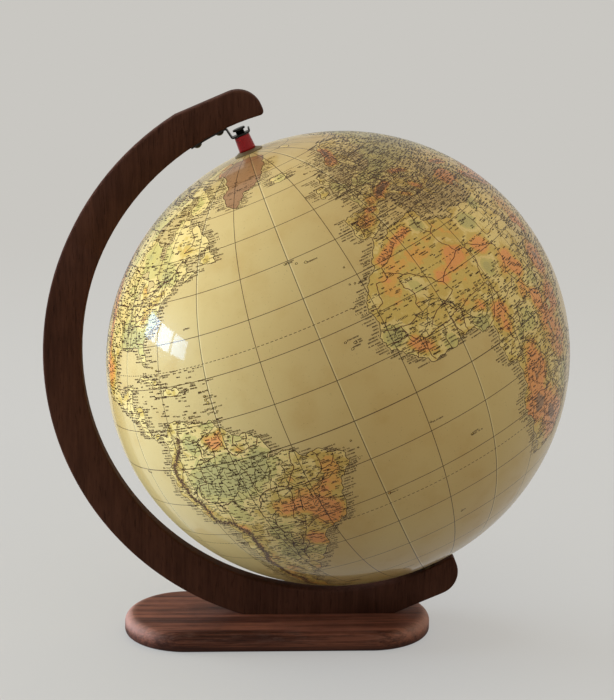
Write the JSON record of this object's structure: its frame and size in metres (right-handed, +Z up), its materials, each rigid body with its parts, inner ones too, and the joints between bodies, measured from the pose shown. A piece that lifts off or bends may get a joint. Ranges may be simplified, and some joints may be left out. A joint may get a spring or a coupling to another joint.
{
  "type": "desktop globe",
  "caption": "Tilted world globe with a printed paper skin that spins between a bent strip and a lower pivot, on a C-shaped wooden arm with a rounded wooden base.",
  "frame": {"origin": "centre of the base's underside, on the felt", "axes": "+Z up from the table, +X along the base from the arm's back towards the globe's far side, so the pole axis leans towards -X in the XZ plane"},
  "size_m": [0.3387, 0.3, 0.3605],
  "materials": {
    "base_wood": "red-brown stain, satin lacquer, worn edges",
    "arm_wood": "very dark brown stain, satin lacquer",
    "felt": "dark felt",
    "steel": "plain steel",
    "black_steel": "blackened",
    "washer_brass": "dull",
    "bush_plastic": "moulded dark red, glossy",
    "cap_metal": "pressed, dull",
    "map_paper": "printed gores under gloss varnish",
    "shell_board": "pressed board",
    "post_wood": "raw turned wood"
  },
  "bodies": {
    "stand": {"base_plate": "base_wood", "base_felt": "felt", "base_screws": "steel", "meridian_arm": "arm_wood", "spring_strip": "black_steel", "strip_screws": "black_steel", "south_pin": "steel", "thrust_washer": "washer_brass"},
    "globe": {"gore_01": "map_paper", "gore_02": "map_paper", "gore_03": "map_paper", "gore_04": "map_paper", "gore_05": "map_paper", "gore_06": "map_paper", "gore_07": "map_paper", "gore_08": "map_paper", "gore_09": "map_paper", "gore_10": "map_paper", "gore_11": "map_paper", "gore_12": "map_paper", "north_hemisphere": "shell_board", "south_hemisphere": "shell_board", "equator_ring": "shell_board", "centre_post": "post_wood", "north_cap": "cap_metal", "south_cap": "cap_metal", "north_bush": "bush_plastic", "south_bush": "bush_plastic", "north_pin": "black_steel"}
  },
  "joints": [
    {"name": "globe_spin", "type": "hinge", "parent": "stand", "child": "globe", "pos_m": [0.0373, 0, 0.18806], "axis": [-0.3987, 0, 0.9171], "continuous": true}
  ]
}
